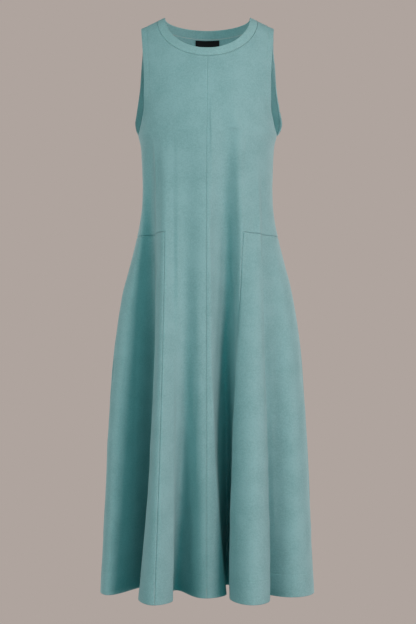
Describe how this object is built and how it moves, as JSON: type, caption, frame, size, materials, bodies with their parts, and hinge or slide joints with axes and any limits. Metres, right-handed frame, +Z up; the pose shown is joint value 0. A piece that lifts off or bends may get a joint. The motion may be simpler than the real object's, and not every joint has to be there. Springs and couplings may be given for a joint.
{
  "type": "trapeze dress",
  "caption": "Sleeveless round-neck midi dress in heavy knit, close at the waist, flaring from hip seams into deep soft folds to a wide waved hem.",
  "frame": {"origin": "midway between the neck ends of the two shoulder seams, where the wearer's shoulders hold the dress", "axes": "+Z up, -Y towards the front of the dress, +X to the right of a front view"},
  "size_m": [0.4478, 0.2878, 1.2004],
  "materials": {
    "crepe_knit": "matte heavy crepe knit, dusty teal",
    "crepe_knit_trim": "the same crepe knit, folded double at the neck and turned in at the armholes",
    "woven_label": "bare black woven ribbon"
  },
  "bodies": {
    "root": {"front_left": "crepe_knit", "front_right": "crepe_knit", "side_front_left": "crepe_knit", "side_front_right": "crepe_knit", "side_back_left": "crepe_knit", "side_back_right": "crepe_knit", "back": "crepe_knit", "neckband": "crepe_knit_trim", "armhole_binding_left": "crepe_knit_trim", "armhole_binding_right": "crepe_knit_trim", "label": "woven_label"}
  },
  "joints": []
}
